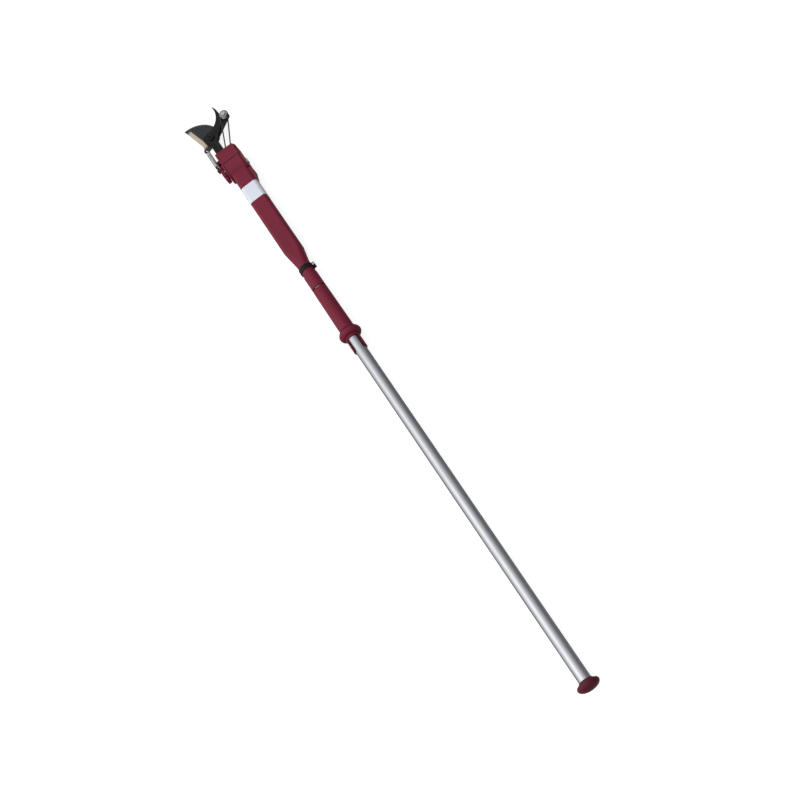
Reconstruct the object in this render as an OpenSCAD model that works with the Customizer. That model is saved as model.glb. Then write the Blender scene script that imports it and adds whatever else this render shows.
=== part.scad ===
// Tree pruner pole: a bypass cutting head on a tilting elbow, worked by a sliding grip
// through a draw cord. +X runs along the pole to the head, +Y is the blade side, +Z is up
// as the pole lies. The origin is on the pole axis, half way along the bare tube.

/* [Pole] */
// Outside diameter of the aluminium tube
tube_d = 25; // [22:0.5:28]
// Wall of the aluminium tube
tube_wall = 1.5; // [1.2:0.1:2]
// Bare tube between the end knob and the grip at rest
bare_l = 804; // [500:1:1200]
// Length of tube held inside the handle body
tube_grip_l = 142; // [100:1:160]
// Widest diameter of the end knob
knob_d = 45; // [38:0.5:52]
// Depth of the end knob's dome below its rim
knob_h = 10; // [7:0.5:16]

/* [Sliding grip] */
// Wall of the grip barrel at the flange end
grip_wall = 3.7; // [3.4:0.1:5]
// Wall of the grip barrel at its upper end
grip_top_wall = 2.9; // [2.5:0.1:4]
// Length of the grip with its flange
grip_l = 138; // [134:1:170]
// Diameter of the grip's hand flange
flange_d = 49; // [44:0.5:54]
// Thickness of the hand flange
flange_h = 16; // [12:0.5:22]
// Length of the bush prongs that stand below the flange
prong_l = 36; // [20:1:45]
// Travel of the grip down the tube
grip_travel = 114; // [80:1:116]

/* [Handle body] */
// Length of the stop collar above the grip
collar_l = 38; // [25:1:50]
// Wall of the stop collar round the tube
collar_wall = 3; // [2.6:0.1:4]
// Width of the handle body across the pole
body_w = 40.6; // [38:0.2:44]
// Depth of the handle body
body_h = 36; // [33:0.5:40]
// Corner radius of the handle body
body_r = 8; // [4:0.5:10]
// Socket end to elbow axis
body_l = 342; // [320:1:380]
// Radius of the elbow drum
drum_r = 26; // [25:0.5:28]
// Width of the clamp band
band_w = 11; // [9:0.5:18]
// Length of the label band
label_l = 46; // [30:1:52]

/* [Elbow] */
// Diameter of the elbow axle
axle_d = 8; // [6:0.5:9]
// Thickness of each cheek plate
cheek_t = 4; // [3:0.25:5]
// Radius of each cheek disc
cheek_r = 24.5; // [22:0.5:25.5]
// Diameter of the lock knob
lock_d = 34; // [28:0.5:38]
// Height of the lock knob
lock_h = 10; // [8:0.5:14]

/* [Cutting head] */
// Elbow axis to blade pivot, along the pole
pivot_x = 112; // [106:1:130]
// Offset of the blade pivot to the blade side
pivot_y = 12; // [10:0.5:14]
// Thickness of the hook plate
hook_t = 4; // [3:0.25:5]
// Thickness of the blade plate
blade_t = 3.5; // [2.5:0.25:4]
// Diameter of the pivot bolt
pivot_d = 8; // [6:0.5:10]
// Length of the blade's lever from the pivot to the pulley
lever_l = 60.5; // [57:0.5:66]
// Angle of the lever below the pole's direction when open
lever_a = 63; // [56:1:66]
// Outside diameter of the cord pulley
pulley_d = 20; // [17:0.5:22]
// Diameter of the draw cord
cord_d = 3; // [2:0.1:3.2]
// Turns of the return spring
spring_turns = 20; // [12:1:24]
// Outside diameter of the return spring
spring_d = 10; // [8:0.25:11]
// Wire diameter of the return spring
spring_wire = 1.4; // [1:0.05:1.5]

/* [Hidden] */
$fn = 64;

// Clearances
slide_gap = 0.3;
run_gap = 0.1;
fit_gap = 0.05;
eps = 0.01;

// Diameters that follow the tube
grip_d = tube_d + 2 * (slide_gap + grip_wall);
grip_top_d = tube_d + 2 * (slide_gap + grip_top_wall);
collar_d = tube_d + 2 * collar_wall;

// Stations along the pole
grip_x0 = bare_l / 2 + prong_l;
grip_x1 = grip_x0 + grip_l;
collar_gap = 3;
collar_x0 = grip_x1 + collar_gap;
body_x0 = collar_x0 + collar_l;
elbow_x = body_x0 + body_l;
px = elbow_x + pivot_x;
knob_seat = 7;
knob_rim = 9;
knob_plug_l = 9;
tube_x0 = -bare_l / 2 - knob_seat;
tube_x1 = body_x0 + tube_grip_l;
tube_ri = tube_d / 2 - tube_wall;

// Sliding grip and puller
grip_bore_r = tube_d / 2 + slide_gap;
bush_wall = 2.6;
bush_r = grip_bore_r + bush_wall;
bush_seat_l = 30;
prong_w = 23;
plug_l = 12;
pin_x = grip_x1 - 37;
pin_d = 6;
pin_head_r = 4.4;
slot_w = pin_d + 0.8;
slug_l = 32;
slug_r = tube_ri - 0.25;

// Handle body
socket_r = collar_d / 2 - 1;
socket_l = 34;
flare_l = 42;
band_x = body_x0 + socket_l / 2;
band_t = 1.8;
band_lug = 5;
band_lug_t = 3;
band_split = 2.4;
band_nut_h = 2.4;
band_head_h = 2;
band_screw_r = 1.5;
band_head_r = 2.6;
band_screw_y = -socket_r - band_t - 2.4;
band_lug_z = band_split / 2 + band_lug_t;
lug_r = 5.5;
lug_z = -body_h / 2 + 0.5;
lug_half = 12;
lug_first = 102;
lug_pitch = 48;
lug_xs = [for (i = [0:4]) body_x0 + lug_first + i * lug_pitch];
label_from_elbow = 112;
guard_l = 33;
guard_flat = 9;
guard_half = 13;
guard_gap = 1.5;
label_x = elbow_x - label_from_elbow;
label_t = 0.5;
screw_r = 2;
head_r = 3.6;
head_h = 2.4;
head_gap = 0.1;
head_sink = 0.2;
lug_screw_l = 18;
cord_r = cord_d / 2;
cord_z = -7.5;

// Elbow
washer_t = 0.8;
washer_y = body_w / 2 + run_gap;
cheek_y = washer_y + washer_t + run_gap;
cheek_out = cheek_y + cheek_t;
guide_r = 11.5;
guide_half = 5;

// Neck block
neck_half_h = 16;
neck_y = cheek_y - run_gap;
cheek_arm = 44;
cheek_arm_h = 12;
neck_step_x = elbow_x + cheek_arm + slide_gap;
neck_front_x = elbow_x + 60;
plate_z = 0.15;
tang_w = 14;
tang_x = elbow_x + 29;
tang_screw_xs = [elbow_x + 44.5, elbow_x + 53.5];
chamber_l = 50;
cheek_screw_x = 35;
cheek_screw_l = 13;
neck_sink = 0.9;

// Cutting head, measured from the blade pivot
hook_z1 = plate_z + hook_t;
blade_z0 = -plate_z - blade_t;
washer_r = 11;
pivot_washer_t = 1.6;
nut_z = blade_z0 - pivot_washer_t;
lever_end = [lever_l * cos(lever_a), -lever_l * sin(lever_a)];
ear = [-19, 24.5];
ear_r = 6;
ear_hole_r = 2.4;
hub_r = 18;
shank_half = 10;
shank_l = 46;
hook_in_c = [60.9, 5.6];
hook_in_r = 45.6;
hook_out_c = [45.8, 8.7];
hook_out_r = 54.8;
lip_w = 4.5;
groove_l = 18;
groove_w = 7;
groove_t = 0.8;
edge_c = [-2.4, 40.4];
edge_r = 66;
bevel_w = 9;
edge_land = 0.5;
lever_half = 9;
pulley_z = hook_z1 + 0.6;
pulley_h = 7;
groove_z = pulley_z + pulley_h / 2;
pulley_pin_r = 3;
wrap_r = pulley_d / 2 - 1;
strand_in = [neck_front_x - 3.5, -15];
strand_end = [neck_front_x - 1.5, -3];
ferrule_l = 5.5;
ferrule_x = elbow_x + chamber_l - ferrule_l - fit_gap;
pulley_at = [px + lever_end[0], pivot_y + lever_end[1]];

// Return spring
spring_y = pivot_y + ear[1];
anchor_x = elbow_x + 31;
anchor_r = 2;
coil_x0 = anchor_x + 7;
coil_x1 = px + ear[0] - 9;
shelf_z = -spring_d / 2 - 2;
shelf_t = 2;

wine = [0.42, 0.07, 0.13];
black = [0.1, 0.1, 0.11];
steel = [0.62, 0.63, 0.65];
dark_steel = [0.2, 0.2, 0.21];
zinc = [0.75, 0.75, 0.77];

// Helpers

// Stands local Z along the pole
module along_x(x) {
    translate([x, 0, 0]) rotate([0, 90, 0]) children();
}

// Stands local Z across the pole, to the blade side
module along_y(x, y, z) {
    translate([x, y, z]) rotate([-90, 0, 0]) children();
}

// Turns a profile of [radius, station] points about the pole axis
module turned(points) {
    along_x(0) rotate_extrude() polygon(points);
}

// Points on an arc about c from angle a0 to a1
function arc(c, r, a0, a1, n = 12) =
    [for (i = [0:n]) c + r * [cos(a0 + (a1 - a0) * i / n), sin(a0 + (a1 - a0) * i / n)]];

// Rounded rectangle made of exact squares and circles
module rounded(w, h, r) {
    square([w - 2 * r, h], center = true);
    square([w, h - 2 * r], center = true);
    for (sx = [-1, 1], sy = [-1, 1])
        translate([sx * (w / 2 - r), sy * (h / 2 - r)]) circle(r);
}

// Bar of the body's section along the pole, grown by g
module body_bar(x0, x1, g = 0) {
    along_x(x0) linear_extrude(x1 - x0)
        rounded(body_h + 2 * g, body_w + 2 * g, body_r + g);
}

// Screw along local -Z whose head's top is at z = 0
module screw(l, r = screw_r, head_r = head_r, head_h = head_h) {
    translate([0, 0, -l]) cylinder(h = l - head_h + eps, r = r);
    difference() {
        translate([0, 0, -head_h]) cylinder(h = head_h, r = head_r);
        translate([0, 0, -head_h / 2]) cylinder(h = head_h, r = r * 0.8, $fn = 6);
    }
}

// Places what stands on the blade pivot
module at_pivot() {
    translate([px, pivot_y, 0]) children();
}

// Unit vector and normal along a route's point i
function unit(v) = v / norm(v);
function tangent(p, i) = unit(p[min(i + 1, len(p) - 1)] - p[max(i - 1, 0)]);

// Tube swept along a route's own points; up is a direction that no stretch runs along
module swept(p, r, sides, up = [0, 0, 1]) {
    n = len(p);
    rings = [for (i = [0:n - 1])
        let (t = tangent(p, i), u = unit(cross(up, t)), v = cross(t, u))
        for (k = [0:sides - 1])
            p[i] + r * (cos(360 * k / sides) * u + sin(360 * k / sides) * v)];
    walls = [for (i = [0:n - 2], k = [0:sides - 1])
        let (a = i * sides + k, b = i * sides + (k + 1) % sides)
        each [[a, b, b + sides], [a, b + sides, a + sides]]];
    first = [for (k = [1:sides - 2]) [0, k + 1, k]];
    end = (n - 1) * sides;
    last = [for (k = [1:sides - 2]) [end, end + k, end + k + 1]];
    polyhedron(rings, concat(walls, first, last), convexity = 10);
}

// Pole

module end_knob() {
    rim = knob_d / 2;
    face = -bare_l / 2;
    rim_x = face - knob_rim;
    dome = [for (a = [0:10:90]) [rim * sin(a), rim_x - knob_h * cos(a)]];
    color(wine) difference() {
        turned(concat(dome,
            [[rim, rim_x + 1.5], [rim - 1.2, rim_x + 3.6], [tube_d / 2 + 3, face - 2],
             [tube_d / 2 + 1.4, face], [tube_ri - fit_gap, face],
             [tube_ri - fit_gap, face + knob_plug_l], [0, face + knob_plug_l]]));
        along_x(tube_x0) difference() {
            cylinder(h = 2 * knob_seat, r = tube_d / 2 + fit_gap);
            translate([0, 0, -1]) cylinder(h = 3 * knob_seat, r = tube_ri - fit_gap);
        }
    }
}

module pole_tube() {
    color([0.78, 0.79, 0.81]) difference() {
        along_x(tube_x0) difference() {
            cylinder(h = tube_x1 - tube_x0, d = tube_d);
            translate([0, 0, -1]) cylinder(h = tube_x1 - tube_x0 + 2, r = tube_ri);
        }
        // Keyway under the grip for the puller's screw
        for (x = [pin_x, pin_x - grip_travel])
            translate([x, 0, -tube_d]) cylinder(h = tube_d, d = slot_w);
        translate([pin_x - grip_travel, -slot_w / 2, -tube_d])
            cube([grip_travel, slot_w, tube_d]);
    }
}

module tube_bush() {
    lip = 2;
    color(black) difference() {
        union() {
            along_x(tube_x1 - plug_l) cylinder(h = plug_l, r = tube_ri - fit_gap);
            along_x(tube_x1) cylinder(h = lip, d = tube_d - 0.4);
        }
        along_x(tube_x1 - plug_l - 1) translate([-cord_z, 0, 0])
            cylinder(h = plug_l + lip + 2, r = cord_r + 0.7);
    }
}

// Sliding grip

module sliding_grip() {
    r0 = grip_d / 2;
    r1 = grip_top_d / 2;
    fr = flange_d / 2;
    edge = flange_h / 2;
    color(wine) difference() {
        turned(concat(
            [[grip_bore_r, grip_x0], [fr - edge, grip_x0]],
            arc([fr - edge, grip_x0 + edge], edge, -90, 75, 10),
            arc([r0 + 8, grip_x0 + flange_h + 7], 8, 245, 180, 6),
            [[r1, grip_x1 - 1.5], [r1 - 1.5, grip_x1], [grip_bore_r, grip_x1]]));
        along_x(grip_x0 - 1) cylinder(h = bush_seat_l + 1, r = bush_r + fit_gap);
        // Screw hole and head recess on the underside
        translate([pin_x, 0, -r0 - 1]) cylinder(h = r0, d = pin_d + 2 * fit_gap);
        translate([pin_x, 0, -r0 - 1]) cylinder(h = 2.4, r = pin_head_r + 0.2);
    }
}

module grip_bush() {
    color(black) difference() {
        along_x(grip_x0 - prong_l) difference() {
            cylinder(h = prong_l + bush_seat_l - fit_gap, r = bush_r);
            translate([0, 0, -1]) cylinder(h = prong_l + bush_seat_l + 2, r = grip_bore_r);
        }
        // The prongs stand at the two sides only
        for (s = [-1, 1])
            translate([grip_x0 - prong_l - 1, -prong_w / 2, s > 0 ? 0 : -tube_d])
                cube([prong_l - 4, prong_w, tube_d]);
    }
}

module puller_slug() {
    color(black) difference() {
        along_x(pin_x - slug_l / 2) cylinder(h = slug_l, r = slug_r);
        translate([pin_x, 0, -tube_d]) cylinder(h = tube_d + 3, d = pin_d + 2 * fit_gap);
        along_x(pin_x + 5) translate([-cord_z, 0, 0]) cylinder(h = slug_l, r = cord_r + fit_gap);
    }
}

module puller_screw() {
    head_z = -grip_d / 2 + 1;
    color(zinc) translate([pin_x, 0, head_z - 1.6]) rotate([180, 0, 0])
        screw(-head_z + 3.6, pin_d / 2, pin_head_r, 2);
}

// Handle body

module stop_collar() {
    r = collar_d / 2;
    bore = tube_d / 2 + fit_gap;
    color(wine) turned([[bore, collar_x0], [r - 1.2, collar_x0], [r, collar_x0 + 1.2],
                        [r, body_x0 - fit_gap], [bore, body_x0 - fit_gap]]);
}

// Outside form of both shells together
module body_form() {
    flare_x = body_x0 + socket_l + flare_l;
    along_x(body_x0) cylinder(h = socket_l + eps, r = socket_r);
    hull() {
        along_x(body_x0 + socket_l) cylinder(h = 1, r = socket_r, $fn = 32);
        along_x(flare_x - 1) linear_extrude(1) rounded(body_h, body_w, body_r, $fn = 32);
    }
    body_bar(flare_x - eps, elbow_x - drum_r / 2);
    along_y(elbow_x, -body_w / 2, 0) cylinder(h = body_w, r = drum_r);
    cheek_guard();
    // Screw lugs along the lower edge
    for (x = lug_xs) along_y(x, -lug_half, lug_z) cylinder(h = 2 * lug_half, r = lug_r);
}

// Fairing that leads from the body's right side out to the right cheek
module cheek_guard() {
    x1 = elbow_x - cheek_r - guard_gap;
    side = -body_w / 2;
    step = 1.6;
    for (d = [0, step]) translate([0, 0, d - guard_half]) linear_extrude(2 * (guard_half - d))
        polygon([[x1, side + 4], [x1, d - cheek_out - step], [x1 - guard_flat, d - cheek_out - step],
                 [x1 - guard_l, side], [x1 - guard_l, side + 4]]);
}

// Everything cut out of the shells
module body_cuts() {
    along_x(body_x0 - 1) cylinder(h = tube_grip_l + 3.2, r = tube_d / 2 + fit_gap);
    // Cord channel from the tube to the elbow
    translate([tube_x1, -7, cord_z - 4]) cube([elbow_x - tube_x1, 14, 11]);
    // Room for the guide pulley
    along_y(elbow_x, -guide_half - 1, 0) cylinder(h = 2 * guide_half + 2, r = guide_r + 2);
    along_y(elbow_x, -body_w, 0) cylinder(h = 2 * body_w, r = axle_d / 2 + run_gap);
    // Slot that lets the cord swing with the head
    along_y(elbow_x, -7, 0) rotate([0, 0, -52])
        rotate_extrude(angle = 97) translate([guide_r, 0]) square([drum_r, 10]);
    for (x = lug_xs) {
        along_y(x, -lug_half - 1, lug_z)
            cylinder(h = 1 + head_sink + lug_screw_l + 3, r = screw_r + fit_gap);
        along_y(x, -lug_half - 1, lug_z)
            cylinder(h = 1 + head_sink + head_h, r = head_r + head_gap);
    }
}

// Half of the handle body on side s
module body_shell(s) {
    w = body_w;
    l = body_l + 2 * drum_r;
    color(wine) difference() {
        intersection() {
            body_form();
            translate([body_x0 - 1, s > 0 ? 0 : -w, -w]) cube([l, w, 2 * w]);
        }
        body_cuts();
    }
}

module body_left_shell() body_shell(1);

module body_right_shell() body_shell(-1);

module body_screws() {
    color(zinc) for (x = lug_xs)
        along_y(x, -lug_half + head_sink, lug_z) rotate([180, 0, 0]) screw(lug_screw_l);
}

module clamp_band() {
    lug_y = -socket_r - band_t;
    color(black) difference() {
        union() {
            along_x(band_x - band_w / 2) difference() {
                cylinder(h = band_w, r = socket_r + band_t);
                translate([0, 0, -1]) cylinder(h = band_w + 2, r = socket_r + fit_gap);
            }
            for (z = [band_split / 2, -band_split / 2 - band_lug_t])
                translate([band_x - band_w / 2, lug_y - band_lug, z])
                    cube([band_w, band_lug + band_t, band_lug_t]);
        }
        translate([band_x - band_w, lug_y - 7, -band_split / 2])
            cube([2 * band_w, 12, band_split]);
        translate([band_x, band_screw_y, -10]) cylinder(h = 20, r = band_screw_r + fit_gap);
        along_x(band_x - band_w) cylinder(h = 2 * band_w, r = socket_r + fit_gap);
    }
}

module clamp_screw() {
    color(zinc) translate([band_x, band_screw_y, band_lug_z + band_head_h])
        screw(2 * band_lug_z + 2 * band_head_h + 2, band_screw_r, band_head_r, band_head_h);
}

module clamp_nut() {
    color(zinc) translate([band_x, band_screw_y, -band_lug_z - band_nut_h]) difference() {
        cylinder(h = band_nut_h, r = band_head_r, $fn = 6);
        translate([0, 0, -1]) cylinder(h = 2 * band_nut_h, r = band_screw_r + fit_gap);
    }
}

module label_band() {
    color([0.86, 0.86, 0.9]) intersection() {
        difference() {
            body_bar(label_x, label_x + label_l, label_t);
            body_bar(label_x - 1, label_x + label_l + 1);
        }
        translate([label_x, -body_w, -body_h / 2 + body_r]) cube([label_l, 2 * body_w, body_h]);
    }
}

// Elbow

module guide_pulley() {
    bottom = -cord_z - cord_r - fit_gap;
    color(black) along_y(elbow_x, 0, 0) rotate_extrude() polygon([
        [axle_d / 2 + run_gap, -guide_half], [guide_r, -guide_half], [guide_r, -guide_half + 1.5],
        [bottom, -cord_r - 0.4], [bottom, cord_r + 0.4],
        [guide_r, guide_half - 1.5], [guide_r, guide_half], [axle_d / 2 + run_gap, guide_half]]);
}

module elbow_axle() {
    head_h = 3;
    color(steel) along_y(elbow_x, 0, 0) difference() {
        union() {
            translate([0, 0, -cheek_out - head_h]) cylinder(h = head_h, r = axle_d / 2 + 3);
            translate([0, 0, -cheek_out - eps])
                cylinder(h = 2 * cheek_out + lock_h - 1, d = axle_d);
        }
        translate([0, 0, -cheek_out - head_h - 1]) cylinder(h = 2.6, r = 2.8, $fn = 6);
    }
}

module elbow_washers() {
    color(black) for (s = [-1, 1])
        along_y(elbow_x, s * (washer_y + washer_t / 2) - washer_t / 2, 0) difference() {
            cylinder(h = washer_t, r = cheek_r - 6);
            translate([0, 0, -1]) cylinder(h = washer_t + 2, r = axle_d / 2 + run_gap);
        }
}

// Cheek plate on side s, a disc with an arm that is screwed to the neck
module cheek(s) {
    color(wine) along_y(elbow_x, s > 0 ? cheek_y : -cheek_out, 0) difference() {
        union() {
            cylinder(h = cheek_t, r = cheek_r);
            translate([0, -cheek_arm_h, 0]) cube([cheek_arm, 2 * cheek_arm_h, cheek_t]);
        }
        translate([0, 0, -1]) cylinder(h = cheek_t + 2, d = axle_d + 2 * fit_gap);
        for (z = [-1, 1]) translate([cheek_screw_x, z * 8, -1]) {
            cylinder(h = cheek_t + 2, r = screw_r + fit_gap);
            translate([0, 0, s > 0 ? cheek_t - 1.1 : 0]) cylinder(h = 3.1, r = head_r + head_gap);
        }
        // Shallow ring on the outer face
        translate([0, 0, s > 0 ? cheek_t - 0.8 : -1]) difference() {
            cylinder(h = 1.8, r = cheek_r - 3);
            translate([0, 0, -1]) cylinder(h = 4, r = cheek_r - 5);
        }
    }
}

module left_cheek() cheek(1);

module right_cheek() cheek(-1);

module cheek_screws() {
    color(zinc) for (s = [-1, 1], z = [-1, 1])
        along_y(elbow_x + cheek_screw_x, s * cheek_out, z * 8) rotate([s > 0 ? 0 : 180, 0, 0])
            screw(cheek_screw_l, head_h = 2);
}

module lock_knob() {
    y0 = cheek_out + slide_gap;
    lobes = 8;
    color(wine) along_y(elbow_x, y0, 0) difference() {
        union() {
            cylinder(h = 2.5, r = axle_d / 2 + 6.5);
            translate([0, 0, 2.5 - eps]) cylinder(h = lock_h - 2.5, d = lock_d);
        }
        for (i = [0:lobes - 1]) rotate(i * 360 / lobes)
            translate([lock_d / 2 + 2.4, 0, -1]) cylinder(h = lock_h + 2, r = 4.6);
        translate([0, 0, -1]) cylinder(h = lock_h + 2, r = axle_d / 2 + 2 + fit_gap);
    }
}

module lock_insert() {
    color([0.72, 0.6, 0.3]) along_y(elbow_x, cheek_out + slide_gap, 0) difference() {
        cylinder(h = lock_h, r = axle_d / 2 + 2);
        translate([0, 0, -1]) cylinder(h = lock_h + 2, r = axle_d / 2 + run_gap);
    }
}

// Neck

// Outside form of the neck block between heights z0 and z1
module neck_form(z0, z1) {
    x = elbow_x;
    difference() {
        intersection() {
            translate([0, 0, z0]) linear_extrude(z1 - z0) polygon([
                [x, -neck_y], [neck_step_x, -neck_y], [neck_step_x, -cheek_out],
                [neck_step_x + 2, -cheek_out], [neck_front_x - 4, -19], [neck_front_x - 2, -2],
                [neck_front_x, 1], [neck_front_x, cheek_out - 3], [neck_front_x - 3, cheek_out],
                [neck_step_x, cheek_out], [neck_step_x, neck_y], [x, neck_y]]);
            along_y(0, -body_w, 0) linear_extrude(2 * body_w) polygon([
                [x, neck_half_h], [neck_front_x - 6, neck_half_h], [neck_front_x, neck_half_h - 5],
                [neck_front_x, -neck_half_h + 5], [neck_front_x - 6, -neck_half_h],
                [x, -neck_half_h]]);
        }
        along_y(x, -body_w, 0) cylinder(h = 2 * body_w, r = drum_r + 0.6);
        // Chamber that the cord runs through, with its two holes in the front wall
        translate([x, -19, -11]) cube([chamber_l, 19.5, 23]);
        translate([0, strand_in[1], groove_z]) along_x(x + 30) cylinder(h = 40, r = cord_r + 0.9);
        translate([0, strand_end[1], groove_z]) along_x(x + 30) cylinder(h = 40, r = cord_r + 0.4);
        // Screws
        for (sx = tang_screw_xs) translate([sx, pivot_y, -neck_half_h - 1])
            cylinder(h = 2 * neck_half_h - 2, r = screw_r + fit_gap);
        for (sx = tang_screw_xs) translate([sx, pivot_y, -neck_half_h - 1])
            cylinder(h = 1 + neck_sink + head_h + head_gap, r = head_r + head_gap);
        for (s = [-1, 1], z = [-1, 1])
            along_y(x + cheek_screw_x, s > 0 ? neck_y - 9.2 : -neck_y, z * 8)
                cylinder(h = 9.2, r = screw_r + fit_gap);
    }
}

module neck_base() {
    shelf_x0 = anchor_x - 7;
    color(wine) difference() {
        union() {
            neck_form(-neck_half_h, plate_z);
            // Shelf and end wall that carry the return spring
            translate([shelf_x0, cheek_out + slide_gap, shelf_z - shelf_t])
                cube([neck_front_x - 8 - shelf_x0, spring_y + 5 - cheek_out, shelf_t]);
            translate([neck_step_x, neck_y, shelf_z - shelf_t])
                cube([neck_front_x - 8 - neck_step_x, spring_y - neck_y, shelf_t + 5]);
            translate([shelf_x0, cheek_out + slide_gap, shelf_z - eps])
                cube([3, spring_y + 5 - cheek_out, spring_d]);
        }
        translate([anchor_x, spring_y, shelf_z - 5]) cylinder(h = 10, r = anchor_r + fit_gap);
        translate([coil_x0 - 2, spring_y, 0]) along_x(0) cylinder(h = 60, d = spring_d + 2);
    }
}

module neck_cover() {
    color(wine) difference() {
        neck_form(plate_z, neck_half_h);
        translate([tang_x - fit_gap, pivot_y - tang_w / 2 - fit_gap, -1])
            cube([60, tang_w + 2 * fit_gap, hook_z1 + 1 + fit_gap]);
        translate([px - 55, pivot_y - 10.2, -1]) cube([60, 20.4, hook_z1 + 1 + fit_gap]);
    }
}

module neck_screws() {
    color(zinc) for (sx = tang_screw_xs)
        translate([sx, pivot_y, -neck_half_h + neck_sink]) rotate([180, 0, 0])
            screw(2 * neck_half_h - 5);
}

// Cutting head

module hook_jaw() {
    inner = arc(hook_in_c, hook_in_r, -77.7, -160, 16);
    outer = arc(hook_out_c, hook_out_r, 223.5, 294.5, 16);
    color(dark_steel) at_pivot() translate([0, 0, plate_z]) difference() {
        linear_extrude(hook_t) {
            circle(hub_r);
            polygon(concat(inner, [[6, 8], [-14, -10]], outer));
            translate([-shank_l, -shank_half]) square([shank_l, 2 * shank_half]);
            translate([tang_x - px, -tang_w / 2]) square([px - shank_l - tang_x + eps, tang_w]);
        }
        translate([0, 0, -1]) cylinder(h = hook_t + 2, d = pivot_d + 2 * fit_gap);
        for (sx = tang_screw_xs) translate([sx - px, 0, -1])
            cylinder(h = hook_t + 2, r = screw_r + fit_gap);
        // Pressed channel on both faces of the shank
        for (z = [-1, hook_t - groove_t]) translate([-hub_r - groove_w / 2 - groove_l, 0, z]) {
            translate([0, -groove_w / 2, 0]) cube([groove_l, groove_w, groove_t + 1]);
            for (x = [0, groove_l]) translate([x, 0, 0])
                cylinder(h = groove_t + 1, d = groove_w);
        }
        // Thinned inner lip of the hook
        translate([hook_in_c[0], hook_in_c[1], hook_t]) rotate_extrude()
            polygon([[hook_in_r - 5.6, 1], [hook_in_r - 5.6, -2.4], [hook_in_r - 1.1, -2.4],
                     [hook_in_r - 1.1 + lip_w, 0.3], [hook_in_r - 1.1 + lip_w, 1]]);
    }
}

module cutting_blade() {
    edge = arc(edge_c, edge_r, -66.4, 2.3, 20);
    across = [sin(lever_a), cos(lever_a)];
    color(steel) at_pivot() translate([0, 0, blade_z0]) difference() {
        linear_extrude(blade_t) {
            circle(hub_r + 1);
            polygon(concat([[-4, -18]], edge, [[48, 38.2], [21, 31.8], [-10, 24]]));
            translate(ear) circle(ear_r);
            polygon([ear + [-4, 4.5], ear + [-5, -3.4], [-18, 0], [0, 0], [6, 24]]);
            polygon([[-14, -8], lever_end - lever_half * across, lever_end + lever_half * across,
                     [14, 2]]);
            translate(lever_end) circle(lever_half);
        }
        translate([0, 0, -1]) cylinder(h = blade_t + 2, d = pivot_d + 2 * run_gap);
        translate([ear[0], ear[1], -1]) cylinder(h = blade_t + 2, r = ear_hole_r);
        translate([lever_end[0], lever_end[1], -1])
            cylinder(h = blade_t + 2, r = pulley_pin_r + fit_gap);
        // Bevel ground on the nut side of the cutting edge
        translate([edge_c[0], edge_c[1], 0]) rotate([0, 0, -42])
            rotate_extrude(angle = 60)
                polygon([[edge_r - bevel_w, -1], [edge_r - bevel_w, 0],
                         [edge_r + 0.2, blade_t - edge_land],
                         [edge_r + bevel_w, blade_t - edge_land], [edge_r + bevel_w, -1]]);
    }
}

module pivot_bolt() {
    head_h = 4;
    color(steel) at_pivot() difference() {
        union() {
            translate([0, 0, hook_z1]) cylinder(h = head_h, r = pivot_d);
            translate([0, 0, nut_z - 14]) cylinder(h = 14 - nut_z + hook_z1 + eps, d = pivot_d);
        }
        translate([0, 0, hook_z1 + head_h - 2.4]) cylinder(h = 5, r = 3.2, $fn = 6);
    }
}

module pivot_washer() {
    color(zinc) at_pivot() translate([0, 0, nut_z]) difference() {
        cylinder(h = pivot_washer_t - run_gap, r = washer_r);
        translate([0, 0, -1]) cylinder(h = 4, d = pivot_d + 2 * fit_gap);
    }
}

module pivot_nut() {
    color(zinc) at_pivot() translate([0, 0, nut_z - 12]) difference() {
        union() {
            cylinder(h = 5, r = 6.2);
            translate([0, 0, 5 - eps]) cylinder(h = 7, r = pivot_d / 2 + 4.5, $fn = 6);
        }
        translate([0, 0, -1]) cylinder(h = 16, d = pivot_d + 2 * fit_gap);
    }
}

module pulley_pin() {
    color([0.72, 0.6, 0.3]) translate([pulley_at[0], pulley_at[1], 0]) {
        translate([0, 0, blade_z0 - 2.4]) cylinder(h = 2.4, r = 5.5);
        translate([0, 0, blade_z0 - eps])
            cylinder(h = pulley_z + pulley_h - blade_z0 + 0.4, r = pulley_pin_r);
        // Collar that lifts the pulley clear of the hook
        translate([0, 0, -plate_z]) cylinder(h = pulley_z + plate_z - run_gap, r = 4);
        translate([0, 0, pulley_z + pulley_h + run_gap]) cylinder(h = 1.6, r = 5);
    }
}

module cord_pulley() {
    r = pulley_d / 2;
    bottom = wrap_r - cord_r - fit_gap;
    half = pulley_h / 2;
    color(steel) translate([pulley_at[0], pulley_at[1], groove_z]) rotate_extrude() polygon([
        [pulley_pin_r + run_gap, -half], [r - 0.6, -half], [r, -half + 0.8],
        [bottom, -cord_r], [bottom, cord_r],
        [r, half - 0.8], [r - 0.6, half], [pulley_pin_r + run_gap, half]]);
}

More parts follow.
